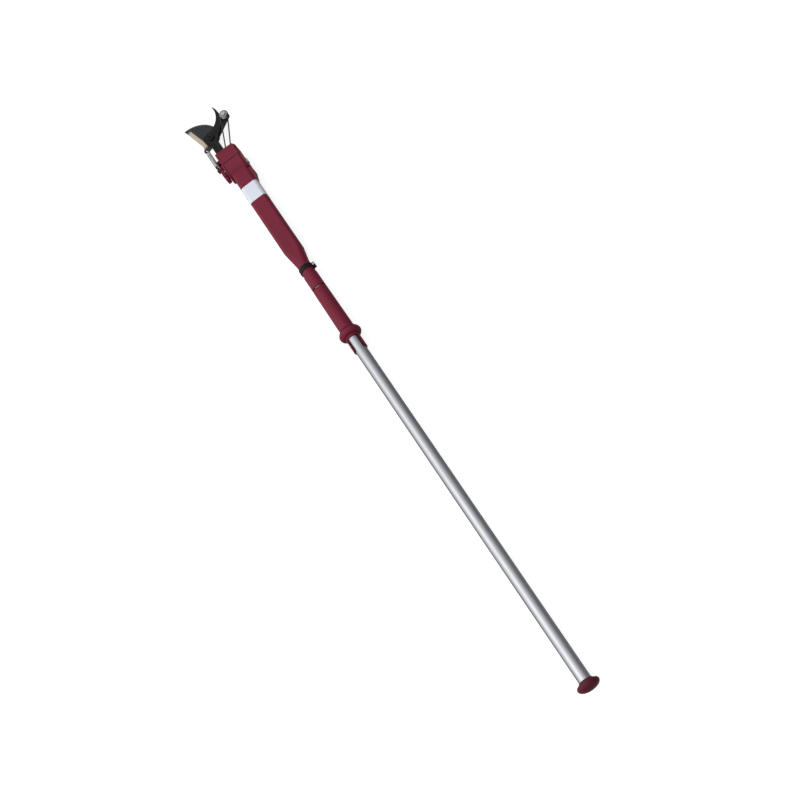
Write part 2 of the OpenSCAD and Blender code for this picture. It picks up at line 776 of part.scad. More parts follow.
// Return spring: hook over the anchor pin, turns, then a hook down through the blade's ear
function spring_route() =
    let (rm = (spring_d - spring_wire) / 2, per = 8, w = spring_wire / 2,
         n = spring_turns * per, x1 = px + ear[0], pin = anchor_r + w + 0.3)
    concat(
        [for (a = [-150:30:90]) [anchor_x + pin * cos(a - 180) , spring_y + pin * sin(a - 180), 0]],
        [[anchor_x + 3.6, spring_y - pin + 0.6, 0.6]],
        [for (i = [0:n]) let (a = 360 * i / per - 90)
            [coil_x0 + (coil_x1 - coil_x0) * i / n, spring_y + rm * sin(a), rm * cos(a)]],
        [[coil_x1 + 3, spring_y - 1.6, 2.6], [x1 - 2, spring_y, 2.4], [x1 - 0.6, spring_y, 1.6],
         [x1, spring_y, 0], [x1, spring_y, -2], [x1, spring_y, -5.4]]);

// Least gap of the spring's wire to itself, over points that are half a turn or more apart
function least_gap(p, wire, apart) =
    min([for (i = [0:len(p) - 1], j = [i + apart:1:len(p) - 1]) norm(p[i] - p[j])]) - wire;

echo(str("Return spring, least gap to itself in mm: ", least_gap(spring_route(), spring_wire, 6)));

module return_spring() {
    color(zinc) swept(spring_route(), spring_wire / 2, 6, [0.2, 1, 0.1]);
}

module spring_anchor() {
    color(dark_steel) translate([anchor_x, spring_y, shelf_z - shelf_t])
        cylinder(h = shelf_t - shelf_z + 2.5, r = anchor_r);
}

// Draw cord

module cord_ferrule() {
    color(zinc) translate([ferrule_x, strand_end[1], groove_z]) along_x(0) difference() {
        cylinder(h = ferrule_l, r = 3);
        translate([0, 0, 2]) cylinder(h = 10, r = cord_r + fit_gap);
    }
}

// Front loop: dead end, round the pulley, back to the neck
function front_route() =
    let (c = pulley_at, ang = function (p, s)
            let (v = p - c) atan2(v[1], v[0]) + s * acos(wrap_r / norm(v)),
         a0 = ang(strand_end, -1), a1 = ang(strand_in, 1) - 360, n = 14)
    concat(
        [[ferrule_x + 2.1, strand_end[1], groove_z], [strand_end[0], strand_end[1], groove_z]],
        [for (q = [0.25, 0.5, 0.75]) let (t = c + wrap_r * [cos(a0), sin(a0)],
            m = strand_end + (t - strand_end) * q) [m[0], m[1], groove_z]],
        [for (i = [0:n]) let (a = a0 + (a1 - a0) * i / n)
            [c[0] + wrap_r * cos(a), c[1] + wrap_r * sin(a), groove_z]],
        [for (q = [0.25, 0.5, 0.75]) let (t = c + wrap_r * [cos(a1), sin(a1)],
            m = t + (strand_in - t) * q) [m[0], m[1], groove_z]],
        [[strand_in[0] + 1.5, strand_in[1], groove_z], [strand_in[0], strand_in[1], groove_z]]);

module draw_cord_front() {
    color(dark_steel) swept(front_route(), cord_r, 8);
}

// Inside the neck, from the front hole down to the guide pulley
neck_route = [[elbow_x, 0, cord_z], [elbow_x + 8, 0, cord_z], [elbow_x + 17, -1, -6.6],
    [elbow_x + 26, -3.5, -3.6], [elbow_x + 34, -7.5, 1.2], [elbow_x + 42, -11.8, 5.6],
    [elbow_x + 49, -14.6, groove_z - 0.3], [strand_in[0] - 3, strand_in[1], groove_z],
    [strand_in[0], strand_in[1], groove_z]];

module draw_cord_neck() {
    color(dark_steel) swept(neck_route, cord_r, 8);
}

// Along the body and the tube to the slug
module draw_cord_pole() {
    x0 = pin_x + 5;
    color(dark_steel) translate([0, 0, cord_z]) along_x(x0)
        cylinder(h = elbow_x - x0, r = cord_r);
}

end_knob();
pole_tube();
tube_bush();
sliding_grip();
grip_bush();
puller_slug();
puller_screw();
stop_collar();
clamp_band();
clamp_screw();
clamp_nut();
body_left_shell();
body_right_shell();
body_screws();
label_band();
guide_pulley();
elbow_axle();
elbow_washers();
left_cheek();
right_cheek();
cheek_screws();
lock_knob();
lock_insert();
neck_base();
neck_cover();
neck_screws();
hook_jaw();
pivot_bolt();
pivot_washer();
pivot_nut();
cutting_blade();
pulley_pin();
cord_pulley();
return_spring();
spring_anchor();
cord_ferrule();
draw_cord_front();
draw_cord_neck();
draw_cord_pole();
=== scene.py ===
"""Dresses the tree pruner pole: its finishes, wound spring, twisted draw cord, camera and light."""

from __future__ import annotations

import logging
import math
from dataclasses import dataclass, field
from enum import Enum
from typing import Any, Iterable, Protocol, Sequence

import bpy
import numpy as np
from mathutils import Matrix, Vector

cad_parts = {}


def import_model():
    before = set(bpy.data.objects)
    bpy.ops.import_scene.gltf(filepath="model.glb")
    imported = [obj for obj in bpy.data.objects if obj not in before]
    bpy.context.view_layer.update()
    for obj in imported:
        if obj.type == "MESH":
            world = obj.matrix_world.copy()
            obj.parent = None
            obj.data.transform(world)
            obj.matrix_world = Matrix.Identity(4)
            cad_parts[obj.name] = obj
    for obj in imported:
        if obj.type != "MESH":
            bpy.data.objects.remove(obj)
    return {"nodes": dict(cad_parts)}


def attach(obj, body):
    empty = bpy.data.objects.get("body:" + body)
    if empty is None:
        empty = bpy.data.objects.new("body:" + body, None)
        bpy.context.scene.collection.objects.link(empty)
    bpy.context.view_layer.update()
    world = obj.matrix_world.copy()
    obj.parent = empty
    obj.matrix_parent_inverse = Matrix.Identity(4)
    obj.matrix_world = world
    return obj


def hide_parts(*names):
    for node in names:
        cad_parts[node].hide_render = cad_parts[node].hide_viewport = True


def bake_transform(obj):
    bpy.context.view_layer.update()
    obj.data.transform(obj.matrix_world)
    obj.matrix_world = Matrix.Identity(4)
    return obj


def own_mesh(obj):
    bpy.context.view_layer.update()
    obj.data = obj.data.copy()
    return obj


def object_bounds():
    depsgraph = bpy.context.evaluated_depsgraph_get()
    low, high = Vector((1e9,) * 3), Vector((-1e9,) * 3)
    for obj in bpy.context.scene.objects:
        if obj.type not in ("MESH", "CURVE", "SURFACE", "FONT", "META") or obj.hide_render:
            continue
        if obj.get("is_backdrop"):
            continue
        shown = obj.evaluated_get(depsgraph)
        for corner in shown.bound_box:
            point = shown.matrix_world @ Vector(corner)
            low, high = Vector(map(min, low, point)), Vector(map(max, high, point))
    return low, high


LOG = logging.getLogger("pruner")
MM = 0.001
SWEEP_MAP = "sweep"
Rgb = tuple[float, float, float]
Point = tuple[float, float, float]


class Slot(Enum):
    """Names of the record's material slots for the spring and the cord."""

    SPRING = "spring_steel"
    CORD = "cord"


class Body(Enum):
    """The moving bodies that new pieces ride on."""

    HEAD = "head"
    BLADE = "blade"
    GRIP = "grip"


# Shader maths


class Wire:
    """A shader socket whose operators add Math nodes."""

    def __init__(self, nodes: "Nodes", socket: bpy.types.NodeSocket) -> None:
        """Keeps the socket and the node tree that it belongs to."""
        self.nodes = nodes
        self.socket = socket

    def math(self, operation: str, *values: "Wire | float") -> "Wire":
        """Adds one Math node.

        Args:
            operation: the Math node's operation.
            values: its inputs, in order, sockets or numbers.

        Returns:
            The node's result.
        """
        return self.nodes.node("ShaderNodeMath", {"operation": operation}, dict(enumerate(values)))

    def __add__(self, other: "Wire | float") -> "Wire":
        """Sum."""
        return self.math("ADD", self, other)

    def __sub__(self, other: "Wire | float") -> "Wire":
        """Difference."""
        return self.math("SUBTRACT", self, other)

    def __mul__(self, other: "Wire | float") -> "Wire":
        """Product."""
        return self.math("MULTIPLY", self, other)

    def __truediv__(self, other: "Wire | float") -> "Wire":
        """Quotient."""
        return self.math("DIVIDE", self, other)

    def __pow__(self, power: float) -> "Wire":
        """Power."""
        return self.math("POWER", self, power)

    def step(self, low: float, high: float) -> "Wire":
        """Smooth step, 0 at low and 1 at high, which may be the lower of the two."""
        return self.nodes.node(
            "ShaderNodeMapRange", {"interpolation_type": "SMOOTHSTEP"},
            {"Value": self, "From Min": low, "From Max": high, "To Min": 0.0, "To Max": 1.0},
        )


class Nodes:
    """A node tree that is filled one node at a time."""

    def __init__(self, tree: bpy.types.NodeTree) -> None:
        """Keeps the tree."""
        self.tree = tree

    def node(
        self,
        kind: str,
        settings: dict[str, Any],
        inputs: dict[Any, Any],
        result: str | int = 0,
    ) -> Wire:
        """Adds one node of any kind.

        Args:
            kind: the node's type.
            settings: attributes that are set first; "stops" gives a ramp's (position, colour) pairs.
            inputs: socket name or number to a value or a Wire.
            result: name or number of the output that is returned.

        Returns:
            That output.
        """
        made = self.tree.nodes.new(kind)
        for key, value in settings.items():
            if key == "stops":
                self._stops(made.color_ramp, value)
            else:
                setattr(made, key, value)
        for key, value in inputs.items():
            if isinstance(value, Wire):
                self.tree.links.new(value.socket, made.inputs[key])
            else:
                made.inputs[key].default_value = value
        return Wire(self, made.outputs[result])

    @staticmethod
    def _stops(ramp: bpy.types.ColorRamp, stops: Sequence[tuple[float, Rgb]]) -> None:
        """Sets a ramp's stops, of which it starts with two."""
        while len(ramp.elements) < len(stops):
            ramp.elements.new(0.5)
        for element, (position, colour) in zip(ramp.elements, stops):
            element.position = position
            element.color = (*colour, 1.0)


class Shade(Nodes):
    """One node material in the making, around a Principled shader."""

    def __init__(self, name: str) -> None:
        """Starts an empty material of that name."""
        self.material = bpy.data.materials.new(name)
        self.material.use_nodes = True
        super().__init__(self.material.node_tree)
        self.tree.nodes.clear()
        self.surface = self.tree.nodes.new("ShaderNodeBsdfPrincipled")
        output = self.tree.nodes.new("ShaderNodeOutputMaterial")
        self.tree.links.new(self.surface.outputs["BSDF"], output.inputs["Surface"])
        self.place = self.node("ShaderNodeTexCoord", {}, {}, "Object")

    def axis(self, name: str, source: Wire | None = None) -> Wire:
        """One coordinate, X, Y or Z, of the place or of another vector."""
        return self.node("ShaderNodeSeparateXYZ", {}, {0: source or self.place}, name)

    def stretched(self, scale: Point, centre: Point = (0.0, 0.0, 0.0)) -> Wire:
        """The place moved so that centre is its origin, then scaled on each axis."""
        moved = self.node(
            "ShaderNodeVectorMath", {"operation": "SUBTRACT"}, {0: self.place, 1: centre}
        )
        return self.scaled(moved, scale)

    def scaled(self, vector: Wire, scale: Point) -> Wire:
        """A vector scaled on each axis."""
        return self.node("ShaderNodeVectorMath", {"operation": "MULTIPLY"}, {0: vector, 1: scale})

    def chart(self) -> Wire:
        """The map of a swept piece: metres along it and turns round it."""
        return self.node("ShaderNodeUVMap", {"uv_map": SWEEP_MAP}, {})

    def noise(self, scale: float, detail: float = 3.0, where: Wire | None = None) -> Wire:
        """Fractal noise from 0 to 1, with scale cells to the metre where no other place is given."""
        return self.node(
            "ShaderNodeTexNoise", {},
            {"Vector": where or self.place, "Scale": scale, "Detail": detail, "Roughness": 0.55},
            "Fac",
        )

    def mix(self, amount: Wire | float, first: Any, second: Any) -> Wire:
        """Colour mix, the first at 0 and the second at 1."""
        tuned = [(*c, 1.0) if isinstance(c, tuple) else c for c in (first, second)]
        return self.node(
            "ShaderNodeMix", {"data_type": "RGBA", "clamp_factor": True},
            {0: amount, 6: tuned[0], 7: tuned[1]}, 2,
        )

    def edges(self, radius: float) -> tuple[Wire, Wire]:
        """Finds a solid's edges by comparing its normal with a rounded one.

        Args:
            radius: reach of the rounding, in metres.

        Returns:
            The rounded normal, and a mask that is 1 on an edge.
        """
        soft = self.node("ShaderNodeBevel", {"samples": 6}, {"Radius": radius})
        plain = self.node("ShaderNodeNewGeometry", {}, {}, "Normal")
        same = self.node(
            "ShaderNodeVectorMath", {"operation": "DOT_PRODUCT"}, {0: soft, 1: plain}, "Value"
        )
        return soft, same.step(0.995, 0.80)

    def bump(self, height: Wire, distance: float, strength: float, normal: Wire | None = None) -> Wire:
        """Bump from a height, in metres at its full value, over an optional normal."""
        inputs = {"Height": height, "Distance": distance, "Strength": strength}
        if normal is not None:
            inputs["Normal"] = normal
        return self.node("ShaderNodeBump", {}, inputs)

    def finish(self, **sockets: Any) -> bpy.types.Material:
        """Sets the shader's sockets.

        Args:
            sockets: socket names with _ for a space, to values or Wires.

        Returns:
            The finished material.
        """
        for key, value in sockets.items():
            socket = self.surface.inputs[key.replace("_", " ")]
            if isinstance(value, Wire):
                self.tree.links.new(value.socket, socket)
            else:
                socket.default_value = (*value, 1.0) if isinstance(value, tuple) else value
        return self.material


# Finishes


class Finish(Protocol):
    """What every finish has."""

    @property
    def name(self) -> str:
        """Name of its material."""

    def build(self) -> bpy.types.Material:
        """Makes its material."""


@dataclass(frozen=True)
class MouldedPlastic:
    """Injection moulded plastic with a fine spark-eroded grain, paler on rubbed edges."""

    name: str
    colour: Rgb
    shade: Rgb
    rubbed: Rgb
    roughness: float = 0.42
    gloss: float = 0.14
    grain: float = 1500.0
    grain_depth: float = 0.00006
    edge_r: float = 0.0007

    def build(self) -> bpy.types.Material:
        """Colour drifts on two noises, edges are rubbed in patches, and the grain is a bump."""
        s = Shade(self.name)
        soft, edge = s.edges(self.edge_r)
        flow = s.noise(16.0, 2.0, s.stretched((0.5, 1.0, 1.0)))
        specks = s.noise(900.0, 2.0)
        patches = s.noise(70.0, 4.0).step(0.42, 0.68)
        scuffs = s.noise(1.0, 3.0, s.stretched((60.0, 900.0, 900.0))).step(0.66, 0.78)
        tone = s.mix((flow - 0.5) * 1.3 + 0.5, self.colour, self.shade)
        tone = s.mix(specks.step(0.62, 0.8) * 0.14, tone, self.rubbed)
        tone = s.mix(edge * patches * 0.45 + scuffs * patches * 0.10, tone, self.rubbed)
        rough = specks * 0.10 + patches * 0.08 + (self.roughness - 0.09) + scuffs * 0.10
        grain = s.noise(self.grain, 2.0)
        return s.finish(
            Base_Color=tone, Roughness=rough, Specular_IOR_Level=self.gloss,
            Normal=s.bump(grain, self.grain_depth, 0.55, soft),
        )


@dataclass(frozen=True)
class DrawnAluminium:
    """Drawn tube with fine lines along its length, dulled in patches and scratched by the grip."""

    name: str = "drawn_aluminium"
    bright: Rgb = (0.45, 0.46, 0.49)
    dull: Rgb = (0.36, 0.37, 0.39)
    # The specular tint darkens the tube's reflection towards its sides: painted dark reflection.
    rim: Rgb = (0.30, 0.31, 0.33)
    nicked: Rgb = (0.35, 0.35, 0.36)
    roughness: float = 0.26

    def build(self) -> bpy.types.Material:
        """Noise stretched along the tube makes the die lines in colour, gloss and bump."""
        s = Shade(self.name)
        fine = s.noise(1.0, 4.0, s.stretched((5.0, 1600.0, 1600.0)))
        broad = s.noise(1.0, 3.0, s.stretched((2.0, 260.0, 260.0)))
        haze = s.noise(22.0, 4.0)
        nick = s.noise(1.0, 2.0, s.stretched((160.0, 900.0, 900.0))).step(0.70, 0.78)
        tone = s.mix(fine * 0.5 + broad * 0.4, self.bright, self.dull)
        tone = s.mix(nick * 0.35, tone, self.nicked)
        rough = haze.step(0.35, 0.7) * 0.10 + fine * 0.12 + (self.roughness - 0.08) + nick * 0.15
        return s.finish(
            Base_Color=tone, Metallic=1.0, Roughness=rough, Specular_Tint=self.rim,
            Normal=s.bump(fine * 0.6 + broad * 0.4, 0.00004, 0.35),
        )


@dataclass(frozen=True)
class PlatedSteel:
    """Turned, rolled or plated metal hardware, with a cloudy plating and brighter edges."""

    name: str
    colour: Rgb
    cloud: Rgb
    roughness: float = 0.30
    rubbed: Rgb = (0.85, 0.85, 0.85)
    edge_r: float = 0.0004

    def build(self) -> bpy.types.Material:
        """Clouds change the colour and gloss, and edges are polished by handling."""
        s = Shade(self.name)
        soft, edge = s.edges(self.edge_r)
        clouds = s.noise(260.0, 4.0)
        pits = s.noise(2600.0, 2.0)
        tone = s.mix(clouds.step(0.35, 0.7), self.colour, self.cloud)
        tone = s.mix(edge * 0.4, tone, self.rubbed)
        rough = clouds * 0.16 + pits * 0.06 + (self.roughness - 0.11) - edge * 0.06
        return s.finish(
            Base_Color=tone, Metallic=1.0, Roughness=rough,
            Normal=s.bump(pits, 0.00003, 0.4, soft),
        )


@dataclass(frozen=True)
class BlackedSteel:
    """Forged steel blacked by an oxide coat, worn to grey on its edges."""

    name: str = "blacked_steel"
    colour: Rgb = (0.006, 0.006, 0.006)
    sheen: Rgb = (0.016, 0.016, 0.018)
    worn: Rgb = (0.10, 0.095, 0.085)
    roughness: float = 0.46
    gloss: float = 0.10
    edge_r: float = 0.0006

    def build(self) -> bpy.types.Material:
        """Forge scale mottles the coat, and patches of each edge show grey steel."""
        s = Shade(self.name)
        soft, edge = s.edges(self.edge_r)
        scale = s.noise(320.0, 5.0)
        patches = s.noise(130.0, 4.0).step(0.40, 0.62)
        tone = s.mix(scale.step(0.40, 0.75), self.colour, self.sheen)
        wear = edge * patches
        tone = s.mix(wear * 0.75, tone, self.worn)
        rough = scale * 0.22 + (self.roughness - 0.12) - wear * 0.12
        return s.finish(
            Base_Color=tone, Metallic=wear * 0.6, Roughness=rough, Specular_IOR_Level=self.gloss,
            Normal=s.bump(scale, 0.00012, 0.45, soft),
        )


@dataclass(frozen=True)
class GroundBlade:
    """Blade plate painted dark, partly its tint and partly painted dark reflection, with a painted
    highlight band along the spine and a painted glint along the ground cutting edge.
    """

    pivot: Point
    edge_centre: tuple[float, float]
    edge_radius: float
    spine_from: tuple[float, float]
    spine_to: tuple[float, float]
    name: str = "ground_blade"
    dark: Rgb = (0.014, 0.016, 0.019)
    grey: Rgb = (0.032, 0.035, 0.040)
    bright: Rgb = (0.42, 0.35, 0.25)
    polished: Rgb = (0.56, 0.50, 0.41)
    highlight_side: tuple[float, float] = (11.0, 8.0)
    highlight_start: tuple[float, float] = (-6.0, 4.0)
    highlight_end: tuple[float, float] = (68.0, 58.0)
    hone_in: tuple[float, float] = (-1.7, -1.1)
    hone_out: tuple[float, float] = (0.9, 0.5)
    hone_start: tuple[float, float] = (14.0, 20.0)
    gloss: float = 0.3
    edge_r: float = 0.0004

    def build(self) -> bpy.types.Material:
        """The masks are distances, in millimetres, from the spine's line and from the edge's circle."""
        s = Shade(self.name)
        soft, edge = s.edges(self.edge_r)
        local = s.stretched((1000.0, 1000.0, 1000.0), self.pivot)
        x, y = s.axis("X", local), s.axis("Y", local)
        ax, ay = self.spine_from
        bx, by = self.spine_to
        run = math.hypot(bx - ax, by - ay)
        off_spine = (x - ax) * ((by - ay) / run) - (y - ay) * ((bx - ax) / run)
        along = (x - ax) * ((bx - ax) / run) + (y - ay) * ((by - ay) / run)
        dx, dy = x - self.edge_centre[0], y - self.edge_centre[1]
        reach = (dx * dx + dy * dy) ** 0.5
        lines = s.noise(1.0, 3.0, s.stretched((260.0, 1900.0, 900.0)))
        mottle = s.noise(210.0, 4.0)
        # Painted highlight: a band of bright ground steel along the spine.
        band = along.step(*self.highlight_start) * along.step(*self.highlight_end)
        band = off_spine.step(*self.highlight_side) * band
        past = reach - self.edge_radius
        # Painted glint: a bright line of ground steel along the cutting edge.
        honed_glint = past.step(*self.hone_in) * past.step(*self.hone_out) * x.step(*self.hone_start)
        # The dark body tone is partly the steel's own tint and partly painted dark reflection.
        tone = s.mix(mottle.step(0.35, 0.7), self.dark, self.grey)
        bare_and_glint = s.mix(lines, self.bright, self.polished)
        # Bright steel shows on the spine's painted highlight, the cutting edge's painted glint and the
        # worn edges.
        shown = band * (mottle * 0.35 + 0.72) + honed_glint * 0.9 + edge * 0.35
        tone = s.mix(shown, tone, bare_and_glint)
        rough = lines * 0.14 + mottle * 0.10 + 0.26 - band * 0.04
        return s.finish(
            Base_Color=tone, Metallic=shown * 0.5 + 0.5, Roughness=rough, Specular_IOR_Level=self.gloss,
            Normal=s.bump(lines, 0.00003, 0.5, soft),
        )


@dataclass(frozen=True)
class LabelFilm:
    """Bare satin film wrapped round the body, with faint ripples and dulled borders."""

    name: str = "label_film"
    colour: Rgb = (0.57, 0.58, 0.69)
    tint: Rgb = (0.58, 0.66, 0.66)
    dusty: Rgb = (0.45, 0.45, 0.50)

    def build(self) -> bpy.types.Material:
        """A slow noise tints the film, and a broad ripple lifts it."""
        s = Shade(self.name)
        drift = s.noise(28.0, 2.0)
        ripple = s.noise(60.0, 2.0, s.stretched((1.0, 0.4, 0.4)))
        dust = s.noise(1400.0, 2.0)
        tone = s.mix(drift.step(0.3, 0.7), self.colour, self.tint)
        tone = s.mix(dust.step(0.66, 0.8) * 0.12, tone, self.dusty)
        return s.finish(
            Base_Color=tone, Roughness=dust * 0.12 + 0.26, Coat_Weight=0.25, Coat_Roughness=0.12,
            Normal=s.bump(ripple, 0.0006, 0.25),
        )


@dataclass(frozen=True)
class SpringWire:
    """Bright drawn wire, with die lines along it from the sweep's own map."""

    name: str = "spring_wire"
    colour: Rgb = (0.60, 0.63, 0.60)
    dull: Rgb = (0.38, 0.41, 0.39)

    def build(self) -> bpy.types.Material:
        """Noise on the map, long along the wire, gives lines in colour and gloss."""
        s = Shade(self.name)
        lines = s.noise(1.0, 3.0, s.scaled(s.chart(), (60.0, 14.0, 1.0)))
        haze = s.noise(180.0, 3.0)
        tone = s.mix(lines * 0.5 + haze.step(0.4, 0.7) * 0.4, self.colour, self.dull)
        return s.finish(
            Base_Color=tone, Metallic=1.0, Roughness=lines * 0.15 + 0.22,
            Normal=s.bump(lines, 0.00002, 0.4),
        )


@dataclass(frozen=True)
class TwistedCord:
    """Tightly laid synthetic cord whose fibres run along each strand."""

    lay: float
    strands: int
    name: str = "twisted_cord"
    colour: Rgb = (0.010, 0.010, 0.010)
    light: Rgb = (0.045, 0.043, 0.041)

    def build(self) -> bpy.types.Material:
        """Fibres are noise that is long along the lay, and |cos| of the turn darkens the grooves with
        painted shade.
        """
        s = Shade(self.name)
        chart = s.chart()
        fibre = s.noise(1.0, 3.0, s.scaled(chart, (300.0, 40.0, 1.0)))
        soil = s.noise(120.0, 3.0)
        turn = s.axis("Y", chart) - s.axis("X", chart) / self.lay
        # Painted shade: the grooves between strands are coloured darker than their crowns.
        crown = turn.math("ABSOLUTE", turn.math("COSINE", turn * (math.pi * self.strands)))
        shown = crown.step(0.25, 0.9) * (fibre.step(0.3, 0.7) * 0.7 + 0.2) + soil.step(0.5, 0.8) * 0.15
        tone = s.mix(shown, self.colour, self.light)
        return s.finish(
            Base_Color=tone, Roughness=fibre * 0.15 + 0.66, Specular_IOR_Level=0.2, Sheen_Weight=0.1,
            Normal=s.bump(fibre, 0.00012, 0.6),
        )


@dataclass(frozen=True)
class StudioFloor:
    """Plain white floor, lit from within so that shadows stay faint."""

    name: str = "studio_floor"
    glow: float = 0.80
    dark: Rgb = (0.31, 0.31, 0.31)
    pale: Rgb = (0.33, 0.33, 0.33)

    def build(self) -> bpy.types.Material:
        """A very faint noise keeps it from being dead flat."""
        s = Shade(self.name)
        tone = s.mix(s.noise(3.0, 2.0), self.dark, self.pale)
        return s.finish(
            Base_Color=tone, Roughness=0.9, Specular_IOR_Level=0.1,
            Emission_Color=(1.0, 1.0, 1.0), Emission_Strength=self.glow,
        )


# Surfaces


def smooth_path(points: np.ndarray, step: float) -> np.ndarray:
    """Carries a cubic Hermite curve through points, with slopes from their neighbours.

    Args:
        points: the points, one to a row.
        step: spacing of the samples, in metres.

    Returns:
        The samples, one to a row, evenly spaced along the points' own polyline.
    """
    span = np.linalg.norm(np.diff(points, axis=0), axis=1)
    at = np.concatenate(([0.0], np.cumsum(span)))
    slope = np.gradient(points, at, axis=0)
    where = np.linspace(0.0, at[-1], max(int(at[-1] / step), 2) + 1)
    i = np.clip(np.searchsorted(at, where, side="right") - 1, 0, len(span) - 1)
    t = ((where - at[i]) / span[i])[:, None]
    h = span[i][:, None]
    start = (2 * t**3 - 3 * t**2 + 1) * points[i] + (t**3 - 2 * t**2 + t) * h * slope[i]
    end = (3 * t**2 - 2 * t**3) * points[i + 1] + (t**3 - t**2) * h * slope[i + 1]
    return start + end


def path_frames(path: np.ndarray, up: Point) -> tuple[np.ndarray, np.ndarray]:
    """Finds two directions square to a path that turn about it as little as they can.

    The first guess is the cross product of up and the path's direction. The turn from each
    guess to the next is added up along the path and taken out again.

    Args:
        path: the path's points, one to a row.
        up: a direction that the path doesn't start along.

    Returns:
        The two directions at each point.
    """
    run = np.gradient(path, axis=0)
    run /= np.linalg.norm(run, axis=1, keepdims=True)
    side = np.cross(np.array(up), run)
    side /= np.linalg.norm(side, axis=1, keepdims=True)
    over = np.cross(run, side)
    carried = side[:-1] - np.sum(side[:-1] * run[1:], axis=1, keepdims=True) * run[1:]
    turn = np.arctan2(np.sum(carried * over[1:], axis=1), np.sum(carried * side[1:], axis=1))
    angle = np.concatenate(([0.0], np.cumsum(turn)))[:, None]
    return np.cos(angle) * side + np.sin(angle) * over, np.cos(angle) * over - np.sin(angle) * side


def grid_faces(rows: int, columns: int, closed: bool) -> np.ndarray:
    """Lists the quads of a grid of points that is numbered row by row.

    Args:
        rows: number of rows.
        columns: number of points in a row.
        closed: whether the last point of each row joins the first.

    Returns:
        Four point numbers to a row.
    """
    across = np.arange(columns if closed else columns - 1)
    i, j = np.meshgrid(np.arange(rows - 1), across, indexing="ij")
    here, beside = i * columns + j, i * columns + (j + 1) % columns
    return np.stack((here, beside, beside + columns, here + columns), axis=-1).reshape(-1, 4)


def new_piece(name: str, places: np.ndarray, faces: list[list[int]]) -> bpy.types.Object:
    """Makes a mesh object and links it to the scene.

    Args:
        name: the piece's name.
        places: its points, one to a row.
        faces: the point numbers of each face.

    Returns:
        The piece.
    """
    mesh = bpy.data.meshes.new(name)
    mesh.from_pydata(places.tolist(), [], faces)
    piece = bpy.data.objects.new(name, mesh)
    bpy.context.scene.collection.objects.link(piece)
    return piece


def swept_piece(
    name: str, path: np.ndarray, radii: np.ndarray, up: Point, slim: np.ndarray | None = None
) -> bpy.types.Object:
    """Makes a closed tube: ring j is path[j] + r[j, k] (cos a[k] U[j] + sin a[k] V[j]).

    Args:
        name: the piece's name.
        path: the centre line's points, one to a row.
        radii: a radius for each point of the path and each angle.
        up: a direction that the path doesn't start along.
        slim: a factor for each ring's reach along X, where the tube is to be thinner that way.

    Returns:
        The piece, with a map of metres along it and turns round it.
    """
    rings, sides = radii.shape
    u, v = path_frames(path, up)
    a = 2 * np.pi * np.arange(sides) / sides
    round_ = np.cos(a)[None, :, None] * u[:, None, :] + np.sin(a)[None, :, None] * v[:, None, :]
    reach = radii[:, :, None] * round_
    if slim is not None:
        reach[:, :, 0] *= slim[:, None]
    skin = path[:, None, :] + reach
    places = np.concatenate((skin.reshape(-1, 3), path[[0, -1]]))
    quads = grid_faces(rings, sides, True)
    first = np.arange(sides)
    second = (first + 1) % sides
    last = (rings - 1) * sides
    ends = rings * sides
    fans = np.concatenate((
        np.stack((np.full(sides, ends), second, first), axis=-1),
        np.stack((np.full(sides, ends + 1), last + first, last + second), axis=-1),
    ))
    along = np.concatenate(([0.0], np.cumsum(np.linalg.norm(np.diff(path, axis=0), axis=1))))
    j, k = np.meshgrid(np.arange(rings - 1), np.arange(sides), indexing="ij")
    chart = np.stack((
        np.stack((along[j], k / sides), axis=-1),
        np.stack((along[j], (k + 1) / sides), axis=-1),
        np.stack((along[j + 1], (k + 1) / sides), axis=-1),
        np.stack((along[j + 1], k / sides), axis=-1),
    ), axis=-2)
    piece = new_piece(name, places, quads.tolist() + fans.tolist())
    mesh = piece.data
    layer = mesh.uv_layers.new(name=SWEEP_MAP)
    layer.data.foreach_set("uv", np.concatenate((chart.ravel(), np.zeros(fans.size * 2))))
    mesh.polygons.foreach_set("use_smooth", np.ones(len(mesh.polygons), dtype=bool))
    mesh.update()
    return piece


# Sub-assemblies


@dataclass
class Dresser:
    """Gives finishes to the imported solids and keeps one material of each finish."""

    nodes: dict[str, bpy.types.Object]
    made: dict[str, bpy.types.Material] = field(default_factory=dict)

    def material(self, finish: Finish) -> bpy.types.Material:
        """The finish's material, built at its first use."""
        if finish.name not in self.made:
            self.made[finish.name] = finish.build()
        return self.made[finish.name]

    def dress(self, finish: Finish, names: Iterable[str]) -> None:
        """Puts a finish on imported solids.

        Args:
            finish: the finish.
            names: the solids' names.
        """
        for name in names:
            self.coat(self.nodes[name], finish)

    def coat(self, piece: bpy.types.Object, finish: Finish) -> None:
        """Puts a finish on every material slot of one piece."""
        if not piece.material_slots:
            piece.data.materials.append(None)
        for place in piece.material_slots:
            place.material = self.material(finish)
        LOG.info("%s: %s", piece.name, finish.name)


WINE = MouldedPlastic("wine_plastic", (0.165, 0.012, 0.030), (0.112, 0.009, 0.022), (0.28, 0.07, 0.09))
# The end knob's darker copy of the wine plastic is painted shade, since the knob's end faces away from
# the light.
WINE_PAINTED_SHADE = MouldedPlastic(
    "wine_plastic_painted_shade", (0.090, 0.009, 0.022), (0.064, 0.007, 0.017), (0.18, 0.06, 0.07)
)
NYLON = MouldedPlastic("black_nylon", (0.014, 0.014, 0.015), (0.024, 0.024, 0.026), (0.09, 0.09, 0.09))
ZINC = PlatedSteel("zinc_plate", (0.42, 0.42, 0.43), (0.32, 0.33, 0.34))
PULLEY_GREY = PlatedSteel("pulley_steel", (0.24, 0.24, 0.25), (0.17, 0.17, 0.18), 0.40)
BRASS = PlatedSteel("turned_brass", (0.70, 0.52, 0.22), (0.55, 0.40, 0.16), 0.30)


